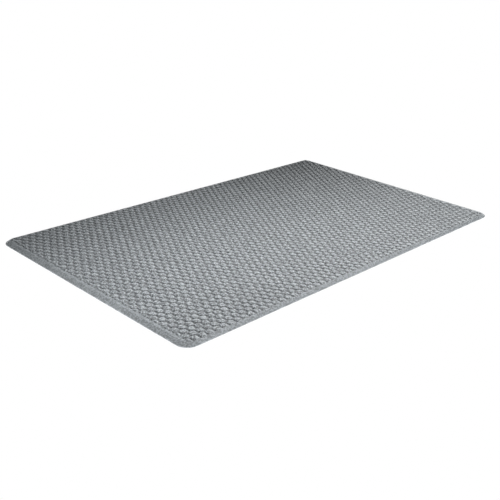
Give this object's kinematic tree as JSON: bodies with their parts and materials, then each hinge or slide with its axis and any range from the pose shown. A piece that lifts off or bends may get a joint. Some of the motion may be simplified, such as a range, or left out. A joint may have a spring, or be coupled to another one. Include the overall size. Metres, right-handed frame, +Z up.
{
  "type": "anti fatigue mat",
  "caption": "Rectangular grey floor mat for standing work: a low-domed soft vinyl surface with a smooth ramped rim, over a foam cushion and a grip backing.",
  "frame": {"origin": "on the floor, under the middle of the mat", "axes": "+X along the long side, +Y along the short side, +Z up out of the standing surface"},
  "size_m": [1.5, 0.91, 0.0125],
  "materials": {
    "wear_vinyl": "matt soft vinyl with a fine grain",
    "cushion_foam": "closed-cell foam, matt",
    "backing_grip": "matt with a fine anti-slip texture"
  },
  "bodies": {
    "root": {"wear_layer": "wear_vinyl", "foam_core": "cushion_foam", "grip_backing": "backing_grip"}
  },
  "joints": []
}
